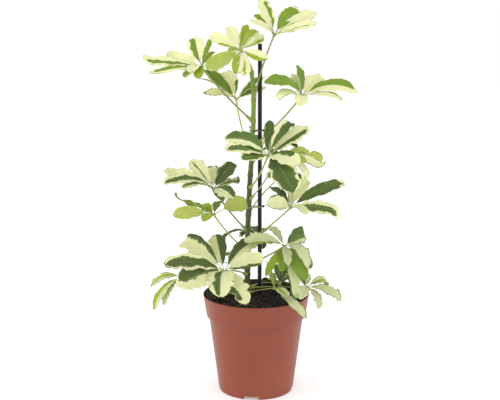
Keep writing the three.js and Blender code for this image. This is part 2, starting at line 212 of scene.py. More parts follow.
def facesOut(obj):
    pick(obj)
    bpy.ops.object.mode_set(mode="EDIT")
    bpy.ops.mesh.select_all(action="SELECT")
    bpy.ops.mesh.remove_doubles(threshold=0.01 * mm)
    bpy.ops.mesh.normals_make_consistent(inside=False)
    bpy.ops.object.mode_set(mode="OBJECT")


def spinUp(name, profile, sides):
    # A closed round form: a circle is extruded and scaled from ring to ring, and closed at both poles
    radius, height = profile[0]
    made = addMesh(bpy.ops.mesh.primitive_circle_add, vertices=sides, radius=radius * mm,
                   fill_type="NGON", location=(0, 0, height * mm))
    bpy.ops.object.transform_apply(location=True, rotation=True, scale=True)
    bpy.ops.object.mode_set(mode="EDIT")
    bpy.ops.mesh.select_all(action="SELECT")
    for nextRadius, nextHeight in profile[1:]:
        bpy.ops.mesh.extrude_region_move(
            TRANSFORM_OT_translate={"value": (0, 0, (nextHeight - height) * mm)})
        bpy.ops.transform.resize(value=(nextRadius / radius, nextRadius / radius, 1),
                                 center_override=(0, 0, nextHeight * mm))
        radius, height = nextRadius, nextHeight
    bpy.ops.object.mode_set(mode="OBJECT")
    made.name = name
    facesOut(made)
    return made


def makeRod(name, sides, rings):  # closed, of radius 1 and height 1 in metres, in many short lengths
    return spinUp(name, [(1 / mm, ring / rings / mm) for ring in range(rings + 1)], sides)


def shapeRod(rod, centres, radii, across):
    # Lays the rod's rings along centres; across stays square to the line it follows
    places = points(rod)
    rings = np.rint(places[:, 2] * (len(centres) - 1)).astype(int)
    angle = np.arctan2(places[:, 1], places[:, 0])[:, None]
    tangents = unit(np.gradient(centres, axis=0))
    sideways = unit(np.cross(tangents, across))
    radius = np.asarray(radii)[rings][:, None]
    movePoints(rod, centres[rings] + radius * (np.cos(angle) * across + np.sin(angle) * sideways[rings]))


def finishPiece(obj, sharpAngle, skin, node):
    pick(obj)
    bpy.ops.object.shade_smooth_by_angle(angle=math.radians(sharpAngle))
    if skin:
        obj.data.materials.append(skin)
    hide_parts(node)
    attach(obj, "root")
    print(node, "done")


def unit(vectors):
    vectors = np.asarray(vectors, dtype=float)
    return vectors / np.linalg.norm(vectors, axis=-1, keepdims=True)


def ease(value, low, high):
    share = np.clip((value - low) / (high - low), 0, 1)
    return share * share * (3 - 2 * share)


def turned(places, turn):  # about the upright axis
    x, y, z = places.T
    cosine, sine = math.cos(turn), math.sin(turn)
    return np.column_stack([x * cosine - y * sine, x * sine + y * cosine, z])


def noiseAt(places):
    return np.array([noise.noise(place) for place in places])


def spread(index):  # a repeatable draw between 0 and 1
    value = math.sin(index * 12.9898) * 43758.5453
    return value - math.floor(value)


# Stem line, shared by stem, ties and leaf stalks

stemLook = {
    "path": [(-10.4, 66), (-10, 116), (-9.7, 148), (-9.5, 185), (-8.1, 214), (-7, 240),
             (-5.3, 268), (-3.4, 300), (-2.9, 325), (-3, 338), (-3.9, 350), (-5.3, 361), (-7.3, 371)],
    "footRadius": 3.5, "tipRadius": 2.3, "ridge": 0.06, "ridges": 7, "wander": 0.09, "tipRings": 6,
    "nodeDrop": 3, "swelling": 0.55, "swellingLength": 2.6, "scarDepth": 0.18, "scarDrop": 4,
    "scarLength": 0.7, "sides": 24, "rings": 180,
    "budPlace": (-5.6, 299), "budReach": (-2.6, -0.6, 4), "budRadius": 1.3, "budRings": 8,
    "lowColour": (53, 73, 22), "topColour": (114, 138, 42), "streak": (164, 172, 104),
    "scar": (118, 104, 62),
}


def stemCentre(height):
    across, heights = zip(*stemLook["path"])
    return np.interp(height, heights, across)


def stemRadius(height):
    low, high = stemLook["path"][0][1], stemLook["path"][-1][1]
    share = (height - low) / (high - low)
    return stemLook["footRadius"] + (stemLook["tipRadius"] - stemLook["footRadius"]) * share


# Leaves

leafLook = {
    "rows": 40, "columns": 12, "thickness": 0.45, "fold": 0.16, "pinchLength": 0.11, "curlStart": 0.75,
    # Waves of the outline and the surface, and how much smoother green and lime margins run
    "wave": 0.09, "waveTurns": 20, "scallop": 0.035, "scallopTurns": (43, 71), "ripple": 0.06,
    "rippleTurns": 13, "pucker": 0.02, "puckerTurns": 37, "sway": 0.012, "greenCalm": 0.65, "limeCalm": 0.6,
    "tear": 0.3, "tearTurns": 6, "notch": 0.13, "notchTurns": 17, "stretch": 0.05, "stretchTurns": 2.4,
    # The bare share of a leaflet, its own stalk, the leaf stalk with its sheath and knee, and the hub
    "bareShare": 0.14, "petioluleRadius": 0.5, "petioluleStart": 0.68, "petioluleEnd": 0.8,
    "petioluleSink": 0.28, "petioluleRings": 14, "petioluleSides": 7, "stalkRadius": 0.45,
    "stalkGrowth": 0.055, "stalkDrop": 4, "stalkRings": 28, "stalkSides": 10, "sheathRadius": 2.3,
    "sheathEnd": 15, "knee": 0.35, "kneeLength": 5, "hubRadius": 2.1,
    "veinSlant": 5.5, "veinSpacing": 4.4, "toneSpread": 0.1, "toneMost": 1.2, "stalkTone": 0.55,
}

# How green lies on a leaflet: centre across, half-width, end along, raggedness, tone shift, and how
# much its margin is torn in
greenAreas = {
    "c": (0.3, -0.14, 1.0, 0.5, 0.0, 1.0),  # cream with a few green flecks
    "s": (0.4, 0.22, 0.86, 0.5, 0.0, 0.8),  # cream with a green streak
    "h": (0.62, 0.6, 0.92, 0.45, 0.0, 0.5),  # one half green
    "e": (0.0, 0.72, 0.86, 0.45, 0.0, 0.5),  # green centre, cream margin
    "d": (0.0, 0.94, 0.94, 0.3, -0.05, 0.2),  # green with a thin margin
    "g": (0.0, 0.85, 1.0, 0.5, 0.15, 0.4),  # bright green
    "v": (0.1, 0.3, 0.88, 0.9, 0.0, 1.0),  # ragged streaks
    "m": (0.2, 0.35, 1.0, 0.7, 0.45, 0.8),  # pale mottling
    "l": (0.0, 1.6, 1.6, 0.3, 0.35, 0.2),  # lime all over
}

# Leaf entries: node height, hub, face, bow, tone from dark 0 to lime 1, painted cream shade (most on low,
# shaded leaves), leaflets as (bearing, rise, length, width, arch, green area and the side it leans to, roll
# where it has one), and what single leaflets have of their own, by leaflet number:
# green: centre across, half-width, end along and raggedness; across runs clockwise seen from the face
# curl: degrees that the tip rolls up or under; pinch: degrees of twist and the place along the blade
# rim: how far a dried dark rim comes in; torn: a factor on the tears, or else it follows the tone
# blade: share that stays bare stalk and a factor on width; tone: a shift from the tone of the leaf
# and stalk, for the whole leaf: its stalk from dull olive 0 to lime 1
leaves = {
    "leaf_top_right": (334, (19, -14, 402), (0.1, -0.6, 0.8), (-2, -1, 0), 0.62, 0.08, [
        (120, 51, 47, 16, 3, "s+"), (135, 35, 36, 10, 3, "g"), (180, 30, 30, 9, 4, "c"),
        (45, 35, 46, 18, 6, "h-", 10), (20, 25, 54, 16, 4, "c"), (-25, 15, 50, 16, 2, "c"),
        (-60, 10, 36, 12, 2, "m")], {
        "green": {0: (0.5, 0.26, 0.86, 0.5), 3: (-0.1, 0.88, 0.85, 0.4), 4: (0.2, 0.04, 0.7, 0.6),
            5: (0.1, 0.1, 0.8, 0.7)}, "stalk": 0.1}),
    "leaf_top_centre": (365, (-17, -12, 386), (0, -0.9, 0.45), (1, 0, 1), 0.84, 0.12, [
        (150, 20, 41, 14, 4, "c"), (125, 45, 34, 13, 3, "c"), (100, 45, 26, 8, 2, "g", 50),
        (72, 50, 34, 9, 3, "d"), (44, 40, 31, 14, 3, "d"), (30, 25, 32, 11, 3, "c"),
        (-30, -14, 34, 12, 1, "h+"), (-75, -50, 34, 14, 4, "s"), (-100, -45, 33, 13, 3, "h-"),
        (-155, -25, 44, 17, 1, "l"), (140, 0, 18, 6, 1, "l")], {
        "green": {0: (-0.85, 0.3, 0.5, 0.5), 4: (-0.5, 0.8, 0.95, 0.4), 5: (0.62, 0.24, 0.9, 0.9),
            6: (0.65, 0.5, 1.0, 0.9), 7: (0.05, 0.2, 0.92, 0.5), 8: (0.5, 0.75, 1.1, 0.3),
            9: (0.15, 1.05, 0.9, 0.4)}, "tone": {3: 0.08, 4: 0.12, 6: 0.08, 9: -0.05}}),
    "leaf_top_left": (311, (-59, -14, 368), (-0.25, -0.6, 0.76), (0, -5, -2), 0.6, -0.15, [
        (180, 5, 65, 14, 3, "v"), (-155, -5, 58, 12, 3, "v"), (140, 10, 50, 18, 3, "c"),
        (105, 40, 46, 18, 4, "s"), (72, 42, 42, 8, 3, "g", 70), (60, 30, 30, 8, 2, "g"),
        (20, 2, 22, 13, 3, "c"), (-110, -6, 32, 14, 4, "c"), (-130, -19, 29, 12, 4, "e"),
        (-94, -22, 27, 12, 3, "l")], {
        "green": {0: (-0.15, 0.42, 0.86, 0.6), 1: (0.3, 0.4, 0.88, 0.6), 3: (-0.3, 0.38, 0.88, 0.4),
            8: (0.1, 0.7, 0.9, 0.7)}, "curl": {0: 52.5, 2: 60}, "stalk": 0.15}),
    "leaf_upper_left": (270, (-22, 6, 331), (-0.1, -0.55, 0.83), (-2, 2, 0), 0.32, -0.3, [
        (155, 40, 48, 15, 4, "d"), (110, 40, 44, 18, 4, "s+"), (40, 15, 42, 14, 2, "h-"),
        (-155, 12, 38, 13, 5, "c"), (180, 30, 46, 10, 5, "l", 45), (40, 30, 46, 10, 3, "c")], {
        "green": {0: (-0.1, 0.92, 1.0, 0.3), 1: (0.8, 0.3, 0.42, 0.6), 2: (-0.2, 0.75, 0.75, 0.6),
            5: (0.1, 0.8, 0.85, 0.5)}, "rim": {3: 1}, "torn": {1: 0.5, 2: 0.5},
        "tone": {0: 0.2, 2: 0.2, 5: 0.2}, "stalk": 0.9}),
    "leaf_upper_right": (282, (49, -12, 336), (0.1, -0.42, 0.9), (0, -3, -2), 0.57, -0.25, [
        (-150, 20, 50, 17, 10, "d", -15), (130, 35, 34, 9, 3, "g"), (105, 35, 38, 12, 3, "c"),
        (95, 45, 44, 12, 5, "d", 30), (-135, 5, 40, 13, 5, "c"), (55, 25, 44, 20, 4, "c"),
        (0, 5, 60, 20, 11, "h-", 12), (-35, 0, 50, 11, 5, "c"), (-95, -10, 36, 15, 5, "c")], {
        "green": {6: (-0.5, 0.45, 0.9, 0.35), 7: (-0.9, 0.25, 0.9, 0.4)}, "curl": {4: -75}, "rim": {4: 1},
        "torn": {0: 0.4, 6: 0.6}, "tone": {0: 0.06, 3: 0.03}}),
    "leaf_middle_front": (237, (12, -44, 276), (0, -0.6, 0.8), (0, -2, -4), 0.15, 0.12, [
        (180, 22, 49, 20, 12, "e+"), (-150, 12, 52, 17, 6, "e"), (-130, 2, 42, 18, 3, "e"),
        (85, 47, 47, 12, 2, "d"), (41, 43, 54, 13, 10, "d-"), (62, 38, 40, 9, 5, "g"),
        (30, 28, 58, 20, 3, "s+"), (-45, -5, 46, 22, 5, "h-"), (-60, -31, 60, 28, 8, "d")], {
        "green": {0: (0.45, 0.62, 0.97, 0.3), 1: (0.05, 0.5, 0.92, 0.5), 2: (0, 0.76, 0.94, 0.3),
            4: (0.35, 0.75, 1.2, 0.7), 6: (0.3, 0.32, 0.88, 0.6), 7: (-0.75, 0.5, 0.62, 0.5),
            8: (0.06, 0.84, 0.93, 0.4)}, "curl": {4: -75}, "torn": {0: 0.5, 3: 0.3},
        "tone": {0: 0.12, 2: 0.08, 8: 0.03}}),
    "leaf_middle_right_upper": (223, (25, -20, 272), (0.4, -0.4, 0.82), (0, -3, -3), 1.05, 0.2, [
        (25, 2, 36, 13, 5, "l", 35), (0, -4, 49, 12, 5, "l", 45), (-25, -15, 56, 12, 9, "c", 30),
        (-40, -25, 46, 11, 7, "c", 20), (-40, -5, 36, 10, 5, "l", 30)], {
        "curl": {1: -45, 2: 112.5, 3: -60}, "pinch": {1: (80, 0.6), 2: (55, 0.5)},
        "rim": {0: 1, 1: 1, 2: 1.3, 3: 1},
        "blade": {0: (0.24, 0.75), 1: (0.4, 0.9), 2: (0.2, 0.8), 3: (0.2, 0.75), 4: (0.2, 0.8)},
        "tone": {0: -0.2, 1: -0.25, 4: -0.35}}),
    "leaf_middle_right": (177, (37, -26, 216), (0.25, -0.5, 0.83), (0, -2, -2), 0.08, 0.3, [
        (0, 25, 65, 15, 7, "d-", 12), (-20, -3, 59, 17, 6, "s+", 15), (-65, 0, 36, 13, 6, "c"),
        (-135, 15, 38, 17, 5, "c", -35), (105, 20, 36, 10, 4, "d", 55), (85, 20, 36, 12, 4, "c"),
        (60, 32, 46, 16, 4, "c"), (120, 20, 46, 11, 5, "d")], {
        "green": {0: (0.0, 1.05, 0.84, 0.75), 1: (0.15, 0.5, 0.86, 0.8), 3: (0.95, 0.12, 1.0, 0.4)},
        "curl": {1: -67.5}, "pinch": {1: (75, 0.42)}, "rim": {3: 1, 5: 1}, "blade": {6: (0.2, 0.85)},
        # painted sheen: leaflets 0 and 1 are lifted in tone to stand for their gloss
        "tone": {0: 0.08, 1: 0.06}}),
    "leaf_middle_left": (188, (-47, -20, 235.5), (-0.2, -0.55, 0.81), (0, -2, -2), 0.07, 0.45, [
        (-150, 11, 60, 18, 11, "e+"), (150, 11, 62, 18, 8, "c"), (125, 30, 52, 18, 5, "s-"),
        (-135, 10, 46, 13, 6, "m"), (92, 25, 44, 16, 4, "c"), (58, 31, 46, 21, 1, "d+"),
        (35, 5, 38, 12, 5, "s"), (-55, -5, 40, 17, 5, "h-"), (-70, -10, 36, 10, 4, "g")], {
        "green": {0: (0.05, 0.46, 0.94, 0.5), 2: (-0.05, 0.1, 0.86, 0.5), 4: (-0.95, 0.16, 1.3, 0.7),
            5: (0.1, 0.95, 1.2, 0.25), 6: (0.2, 0.4, 1.1, 0.7), 7: (-0.6, 0.45, 0.95, 0.5)},
        "curl": {1: 52.5, 6: 165}, "rim": {4: 2.4, 6: 1.4}, "torn": {0: 1.1, 1: 1.3, 2: 0.8, 5: 0.4},
        "tone": {5: -0.1}, "stalk": 0.2}),
    "leaf_middle_left_lower": (165, (-46, -32, 209.5), (-0.2, -0.45, 0.87), (0, -3, -3), 1.05, 0.4, [
        (-150, 5, 49, 15, 4, "l", -30), (180, 22, 52, 9, 3, "g", 50), (145, 10, 36, 11, 4, "l"),
        (115, 10, 32, 10, 3, "l"), (-105, 0, 34, 12, 4, "l"), (80, 15, 34, 11, 3, "g"),
        (35, 10, 44, 19, 4, "l", 35)], {
        "curl": {1: 105}, "pinch": {1: (60, 0.55), 2: (70, 0.5)}, "rim": {1: 1, 2: 1, 4: 1},
        "blade": {0: (0.26, 1.05), 1: (0.14, 0.8), 6: (0.3, 1.08)},
        "tone": {1: -0.75, 2: -0.75, 3: -0.5, 4: -0.45, 5: -0.75}, "stalk": 0.6}),
    "leaf_low_front_left": (137, (-35, -52, 151), (-0.1, -0.65, 0.76), (0, 0, 3), 0.0, 0.5, [
        (150, 27, 68, 23, 13, "c"), (-157, 12, 69, 22, 11, "e"), (-142, -6, 60, 28, 9, "h+", -22),
        (-93, -15, 51, 28, 9, "s+"), (-60, -24, 55, 22, 9, "s+"), (0, 18, 47, 18, 7, "h+", 20),
        (45, 27, 56, 20, 9, "h-"), (103, 34, 55, 19, 7, "h+")], {
        "green": {0: (1.0, 0.55, 1.5, 0.5), 1: (0.0, 0.6, 0.92, 0.6), 2: (0.5, 0.6, 0.84, 0.6),
            3: (0.3, 0.28, 0.95, 0.6), 4: (0.62, 0.36, 0.86, 0.8), 5: (0.85, 0.32, 0.92, 0.5),
            6: (-0.5, 0.48, 1.2, 0.4), 7: (0.55, 0.55, 1.2, 0.3)}, "curl": {0: -105, 5: -52.5},
        "torn": {0: 0.2, 1: 0.9, 2: 1.7, 3: 1.3, 4: 1.9, 5: 0.8, 6: 0.4, 7: 0.3},
        "tone": {0: -0.1, 6: -0.12, 7: -0.15}}),
    "leaf_low_left": (126, (-81, -22, 137), (-0.4, -0.35, 0.85), (0, 4, 2), 0.45, 0.8, [
        (180, -18, 38, 14, 8, "m"), (-130, -30, 52, 13, 8, "m"), (-120, -30, 44, 10, 6, "c"),
        (70, 10, 36, 12, 5, "g"), (40, -10, 30, 12, 4, "g")], {
        "green": {1: (0.7, 0.5, 1.0, 0.8)}, "rim": {0: 1}}),
    "leaf_low_right": (148, (31, -16, 170), (0.12, -0.5, 0.85), (0, -2, 0), 0.2, 0.8, [
        (-150, 13, 51, 18, 8, "m"), (112, 18, 44, 10, 5, "c"), (42, 16, 36, 19, 4, "d", 40),
        (-52, -19, 48, 16, 13, "c"), (-60, -34, 50, 18, 9, "l", 12), (-71, -53, 60, 14, 7, "c"),
        (-85, -20, 36, 11, 6, "c"), (-125, -35, 44, 9, 6, "l"), (-98, -38, 34, 12, 5, "l")], {
        "green": {0: (-0.8, 0.2, 1.1, 0.6), 2: (-0.35, 0.75, 1.3, 0.5), 5: (0.9, 0.28, 1.2, 0.4)},
        "curl": {2: -45, 3: -45}, "rim": {1: 1, 2: 1, 3: 1.3}, "tone": {4: 0.12, 7: 0.18, 8: 0.2}}),
    "leaf_rim_right": (122, (55, -20, 124), (0.4, -0.4, 0.83), (0, -2, 2), 0.35, 0.85, [
        (35, 0, 33, 11, 9, "m"), (-30, -11, 45, 18, 7, "c"), (-65, -25, 36, 11, 7, "c"),
        (-105, -5, 34, 12, 6, "c"), (110, 8, 28, 10, 3, "m"), (85, 18, 30, 9, 3, "c")], {
        "curl": {0: -75}, "rim": {0: 1, 1: 1.3, 2: 1.3, 5: 1}, "stalk": 0.1}),
    "leaf_rim_front": (116, (20, -30, 126), (0.1, -0.6, 0.8), (0, 0, 1), 0.4, 0.85, [
        (95, 20, 30, 8, 2, "l"), (105, 35, 40, 8, 3, "g", 50), (-46, -25, 54, 12, 4, "c"),
        (-62, -3, 30, 10, 3, "m")], {
        "rim": {2: 1}, "stalk": 0.3}),
    "leaf_back_low": (165, (2, 32, 168), (0, 0.1, 1), (-3, 0, 2), 0.0, 0.7, [
        (-160, 0, 46, 13, 11, "d"), (-75, -20, 22, 12, 4, "d"), (100, 0, 46, 14, 8, "d"),
        (60, -5, 44, 14, 8, "e"), (120, -10, 40, 13, 8, "e")], {}),
    "leaf_back_rim": (120, (27, 14, 118), (0.2, 0.1, 0.97), (-2, 7, 3), 0.0, 0.8, [
        (100, 35, 30, 10, 2, "d"), (75, 30, 30, 10, 2, "d"), (60, 0, 36, 12, 4, "e"),
        (125, -5, 34, 11, 4, "e")], {}),
    "leaf_back_upper": (251, (6, 38, 268), (0, 0.45, 0.9), (-4, 0, -2), 0.2, 0.2, [
        (135, 0, 46, 16, 10, "e"), (30, 0, 48, 16, 10, "h+"), (110, 10, 50, 17, 10, "e"),
        (60, 15, 50, 17, 10, "s"), (-65, -5, 38, 14, 7, "d"), (-115, 0, 38, 14, 7, "e")], {}),
    "leaf_back_left": (144, (-54, 34, 139), (-0.3, 0.4, 0.87), (0, 0, 3), 0.04, 0.6, [
        (135, -15, 46, 17, 9, "e"), (115, 0, 48, 18, 9, "h-"), (85, 5, 46, 17, 9, "e"),
        (35, -5, 44, 15, 8, "s"), (-95, -20, 38, 15, 7, "d")], {}),
    "leaf_back_right": (206, (30, 42, 240), (0.25, 0.45, 0.86), (-5, 4, -2), 0.1, 0.3, [
        (55, -20, 44, 14, 8, "s"), (70, 5, 46, 15, 8, "e"), (100, 10, 46, 15, 8, "h-"),
        (115, -15, 38, 13, 7, "e"), (-90, -10, 30, 12, 6, "g")], {}),
}

leafColours = {
    # the darker cream paints shade on low, shaded leaves and gives random blotches on all leaves
    "cream": (226, 227, 177), "shadeAndBlotchCream": (194, 199, 154), "greyGreen": (118, 138, 82),
    "speck": (66, 70, 34), "rib": (214, 218, 150), "deepGreen": (30, 52, 24),
    "stalkOlive": (112, 122, 58), "stalkLime": (168, 178, 88), "stalkStreak": (204, 206, 140),
    # By tone
    "greens": [(0.0, (11, 27, 10)), (0.2, (50, 88, 18)), (0.4, (100, 128, 52)),
               (0.65, (122, 154, 12)), (0.9, (166, 188, 8)), (1.2, (206, 212, 112))],
}


def makeLeafSkin():
    shader = Shader("leaf_skin")
    mix, fade, grain = shader.mix, shader.fade, shader.grain
    colours = leafColours
    lightest = colours["greens"][-1][0] + 0.05
    stops = [(tone / lightest, colour) for tone, colour in colours["greens"]]
    share, across, size = shader.split(shader.attribute("bladePlace"))
    centre, halfWidth, end = shader.split(shader.attribute("greenArea"))
    tone, creamShade, seed = shader.split(shader.attribute("leafTint"))
    ragged = shader.attribute("raggedness", "Fac")
    underside = shader.attribute("underside", "Fac")
    outward = abs(across)
    vein = share * size - leafLook["veinSlant"] * outward  # constant along a side vein, in millimetres
    patchPlace = shader.join(vein * 0.12 + seed * 37, across * 1.3, seed * 11)
    jagPlace = shader.join(vein * 0.45 + seed * 53, across * 2.2 + seed * 5, seed * 19)
    patches = grain(patchPlace, 1, 3, 0.6) - 0.5
    jags = grain(jagPlace, 1, 3, 0.6) - 0.5
    # Green reaches to a ragged border, except along the midrib, where the border is straight
    tipFade = shader.sum("MAXIMUM", share - end, 0) * 7
    ragged = ragged * fade(outward, 0.02, 0.3)
    reach = halfWidth - abs(across - centre) + patches * ragged * 1.6 + jags * ragged * 0.8 - tipFade
    green = fade(reach, -0.02, 0.03)
    inner = fade(reach + jags * 0.8, 0.14, 0.19)
    cloud = grain(patchPlace, 0.7, 2) - 0.5
    fromRib = abs(shader.sum("FRACT", vein / leafLook["veinSpacing"]) - 0.5)
    ribs = (1 - fade(fromRib, 0.03, 0.14)) * (1 - fade(outward, 0.6, 0.95))
    midrib = 1 - fade(outward * size * 0.12, 0.1, 0.45)
    deep = shader.ramp((tone + cloud * 0.4) / lightest, stops)
    pale = mix(deep, colours["greyGreen"], 0.42 - 0.34 * fade(tone, 0.3, 0.6))
    greenSkin = mix(pale, deep, inner)
    depth = fade(fromRib + jags * 0.3, 0.1, 0.45) * inner * (1 - fade(tone, 0.3, 0.7))
    greenSkin = mix(greenSkin, colours["deepGreen"], depth * 0.22)
    greenSkin = mix(greenSkin, colours["greyGreen"], underside * 0.4)
    # Painted shade: the cream darkens by the leaf's cream shade, most on low leaves, with random patches on
    # every leaf
    creamSkin = mix(colours["cream"], colours["shadeAndBlotchCream"], fade(creamShade + patches * 0.6, 0, 1))
    skin = mix(creamSkin, greenSkin, green)
    skin = mix(skin, colours["rib"], ribs * 0.045 + midrib * 0.15)
    # Dark specks near the edge, and a rim that has dried dark in runs
    edge = fade(outward, 0.8, 0.98) + fade(share, 0.93, 0.99)
    skin = mix(skin, colours["speck"], fade(grain(jagPlace, 3, 2, 0.5) * edge, 0.62, 0.7) * 0.8)
    runs = grain(shader.join(share * 3 + seed * 29, across * 0.6, seed * 7), 1, 1)
    darkRim = shader.attribute("darkRim", "Fac")
    nearEdge = outward + fade(share, 0.9, 1) * 0.3
    rim = fade(runs + darkRim * 0.2, 0.55, 0.6) * fade(nearEdge + darkRim * 0.11, 0.93, 0.97)
    skin = mix(skin, colours["speck"], rim * 0.7)
    relief = grain(jagPlace, 2.2, 2, 0.5) * 0.35 - ribs * 0.5 - midrib
    roughness = 0.42 + grain(shader.place(), 300, 2) * 0.12 + underside * 0.15
    return shader.finish(skin, roughness, relief, 0.0004, 0.55, **{
        "Subsurface Weight": 0.25, "Subsurface Scale": 0.0018,
        "Subsurface Radius": (1.0, 1.0, 0.4), "Specular IOR Level": 0.1})


def makeStalkSkin():
    # From olive to lime by the leaf's own tone, with fine lengthwise streaks
    shader = Shader("stalk_skin")
    colours = leafColours
    place = shader.place()
    x, y, z = shader.split(place)
    streaks = shader.grain(shader.join(x, y, z * 0.04), 900, 2, 0.6)
    blotch = shader.grain(place, 60, 2)
    tone = shader.attribute("stalkTone", "Fac")
    colour = shader.mix(colours["stalkOlive"], colours["stalkLime"], tone)
    colour = shader.mix(colour, colours["stalkStreak"], shader.fade(streaks, 0.48, 0.72) * 0.5)
    return shader.finish(colour, 0.45 + blotch * 0.1, streaks, 0.0002, 0.4, **{
        "Subsurface Weight": 0.1, "Subsurface Scale": 0.001})


class Leaflet:  # the curved centre line of one leaflet and the directions along it
    def __init__(self, hub, face, entry, curl, pinch):
        bearing, rise, self.length, self.width, self.arch, _, roll = (*entry, 0)[:7]
        bearing, rise, self.roll, self.curl = np.radians([bearing, rise, roll, curl])
        self.pinch, self.pinchPlace = math.radians(pinch[0]), pinch[1]
        self.hub = hub
        self.along = np.array([np.cos(rise) * np.cos(bearing), np.cos(rise) * np.sin(bearing), np.sin(rise)])
        self.lift = unit(face - self.along * np.dot(face, self.along))
        self.level = np.cross(self.along, self.lift)

    def frame(self, stations):
        stations = np.asarray(stations)[:, None]
        slope = 4 * self.arch * (1 - 2 * stations) / self.length
        centre = (self.hub + self.along * self.length * stations
                  + self.lift * 4 * self.arch * stations * (1 - stations))
        plain = unit(self.along + self.lift * slope)
        turn = self.curl * ease(stations, leafLook["curlStart"], 1)
        forward = plain * np.cos(turn) + np.cross(self.level, plain) * np.sin(turn)
        steps = np.diff(stations[:, 0], prepend=stations[0, 0])[:, None] * self.length
        centre = centre + np.cumsum((forward - plain) * steps, axis=0)
        upright = np.cross(self.level, forward)
        roll = self.roll + self.pinch * np.exp(-((stations - self.pinchPlace) / leafLook["pinchLength"]) ** 2)
        side = self.level * np.cos(roll) + np.cross(forward, self.level) * np.sin(roll)
        normal = upright * np.cos(roll) + np.cross(forward, upright) * np.sin(roll)
        return centre, side, normal


def bladeWidth(share):
    return share ** 0.75 * (1 - share + 0.002) ** 0.5 / 0.432


def drift(values, turns, seed):  # smooth noise along values, between about -1 and 1
    steps = np.linspace(0, 1, 60)
    return np.interp(values, steps, noiseAt([(turns * step, seed * 17.3, 4.1) for step in steps])) * 1.6


def shapeBlade(blade, leaflet, index, green, torn, tint, bare, slim):
    look = leafLook
    places = points(blade)
    across = places[:, 1]
    outward = np.abs(across)
    share = 1 - (1 - (places[:, 0] + 1) / 2) ** 1.6  # with more rows near the tip
    rows, which = np.unique(np.round(share, 6), return_inverse=True)
    centre, side, normal = leaflet.frame(bare + (1 - bare) * rows)
    half = np.maximum(look["petioluleRadius"], slim * leaflet.width / 2 * bladeWidth(share))
    phase = np.where(across < 0, spread(index * 2 - 1), spread(index * 2 + 1)) * 2 * math.pi
    greenEdge = ease(green[1] - np.abs(np.sign(across) - green[0]), -0.12, 0)
    rough = (1 - look["greenCalm"] * greenEdge) * (1 - look["limeCalm"] * ease(tint[0], 0.65, 0.85))
    wave = 1 + look["wave"] * (0.2 + 0.8 * rough) * np.sin(look["waveTurns"] * share + phase)
    fine, finer = look["scallopTurns"]
    scallop = np.sin(fine * share + 1.7 * phase) + 0.7 * np.sin(finer * share + 2.3 * phase)
    scallop *= look["scallop"] * rough * (0.5 + min(torn, 0.8)) * ease(share, 0.15, 0.45)
    tear = np.where(across < 0, *[drift(share, look["tearTurns"], index + seed) for seed in (0, 0.37)])
    notch = (1 - np.abs(np.sin(look["notchTurns"] * share + 0.9 * tear + phase))) ** 2
    cut = look["tear"] * np.maximum(tear - 0.15, 0) + look["notch"] * rough * notch
    cut *= torn * ease(share, 0.2, 0.5) * (1 - ease(share, 0.9, 1))
    margin = 1 + (scallop - cut) * outward ** 2
    stretch = look["stretch"] * drift((across + 1) / 2, look["stretchTurns"], index + 0.71)
    stretch *= leaflet.length * torn * ease(share, 0.6, 1)
    ripple = look["ripple"] * leaflet.width * share * np.sin(look["rippleTurns"] * share + phase)
    pucker = look["pucker"] * leaflet.width * np.sin(look["puckerTurns"] * share + 3 * phase)
    sway = look["sway"] * leaflet.length * drift(share, 3, index + 0.53) * share * torn
    lifted = (look["fold"] * half * outward ** 1.3 + ripple * outward ** 1.5
              + pucker * (0.4 + torn) * outward ** 3 + sway)
    movePoints(blade, centre[which] + side[which] * (across * half * wave * margin)[:, None]
               + normal[which] * lifted[:, None] + leaflet.along * stretch[:, None])
    storeValues(blade, "bladePlace", np.column_stack([share, across, 0 * share + leaflet.length]))
    storeSame(blade, "greenArea", green[:3])
    storeSame(blade, "leafTint", tint)
    storeSame(blade, "raggedness", green[3])


def makeLeafStalk(template, node, hub, bow, leafletCount):
    look = leafLook
    foot = np.array([stemCentre(node - look["stalkDrop"]), 0, node - look["stalkDrop"]])
    middle = (foot + hub) / 2 + 2 * np.array(bow)
    share = np.linspace(0, 1, look["stalkRings"] + 1)[:, None]
    centres = (1 - share) ** 2 * foot + 2 * share * (1 - share) * middle + share ** 2 * hub
    reached = share[:, 0] * np.linalg.norm(hub - foot)
    sheath = 1 - ease(reached, 2, look["sheathEnd"])
    knee = look["knee"] * np.exp(-((reached - reached[-1]) / look["kneeLength"]) ** 2)
    slim = look["stalkRadius"] + look["stalkGrowth"] * leafletCount
    stalk = copyOf(template, "leaf_stalk")
    shapeRod(stalk, centres, slim + (look["sheathRadius"] - slim) * sheath + knee,
             unit(np.cross(hub - foot, (0, 0, 1))))
    return stalk


def makePetiolule(template, leaflet, bare):
    # The leaflet's own stalk, which runs on under the blade as its midrib
    look = leafLook
    start = look["petioluleStart"] / math.hypot(leaflet.length, 4 * leaflet.arch)
    stations = np.linspace(start, look["petioluleEnd"], look["petioluleRings"] + 1)
    centre, _, normal = leaflet.frame(stations)
    under = ease(stations, bare - 0.02, bare + 0.06)
    radii = look["petioluleRadius"] * (1.15 - 0.95 * stations) - 0.1 * under
    made = copyOf(template, "leaflet_stalk")
    shapeRod(made, centre - normal * look["petioluleSink"] * under[:, None], radii, leaflet.level)
    return made


def makeHub(template, hub):
    made = copyOf(template, "leaf_hub")
    movePoints(made, points(made) * leafLook["hubRadius"] + hub)
    return made


def ownFit(fits, kind, number, usual):  # what a leaflet has of its own, or else the usual value
    return fits.get(kind, {}).get(number, usual)


